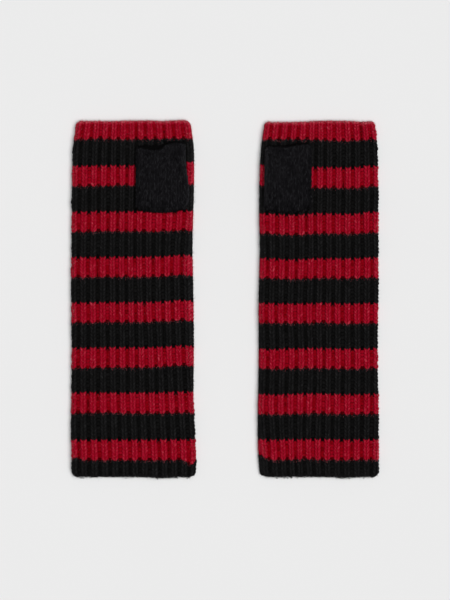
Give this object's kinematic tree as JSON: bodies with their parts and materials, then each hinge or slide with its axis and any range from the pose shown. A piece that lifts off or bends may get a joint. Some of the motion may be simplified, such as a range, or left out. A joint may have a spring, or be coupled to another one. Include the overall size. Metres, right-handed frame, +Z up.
{
  "type": "pair of rib-knit fingerless gloves",
  "caption": "Long striped rib-knit fingerless gloves laid flat side by side, each a flattened tube with a short thumb tube lying on its front.",
  "frame": {"origin": "on the surface the pair lies on, under the middle of the pair's outline", "axes": "+Y from the wrist hems to the finger edges, +X across from the left glove to the right one as seen from above, +Z up off the surface"},
  "size_m": [0.2256, 0.262, 0.0108],
  "materials": {
    "striped_rib_knit": "matt wool in red and black stripes, 2 by 2 rib",
    "black_thumb_knit": "matt black wool, fine plain knit"
  },
  "bodies": {
    "root": {"left_glove_tube": "striped_rib_knit", "right_glove_tube": "striped_rib_knit", "left_thumb_tube": "black_thumb_knit", "right_thumb_tube": "black_thumb_knit"}
  },
  "joints": []
}
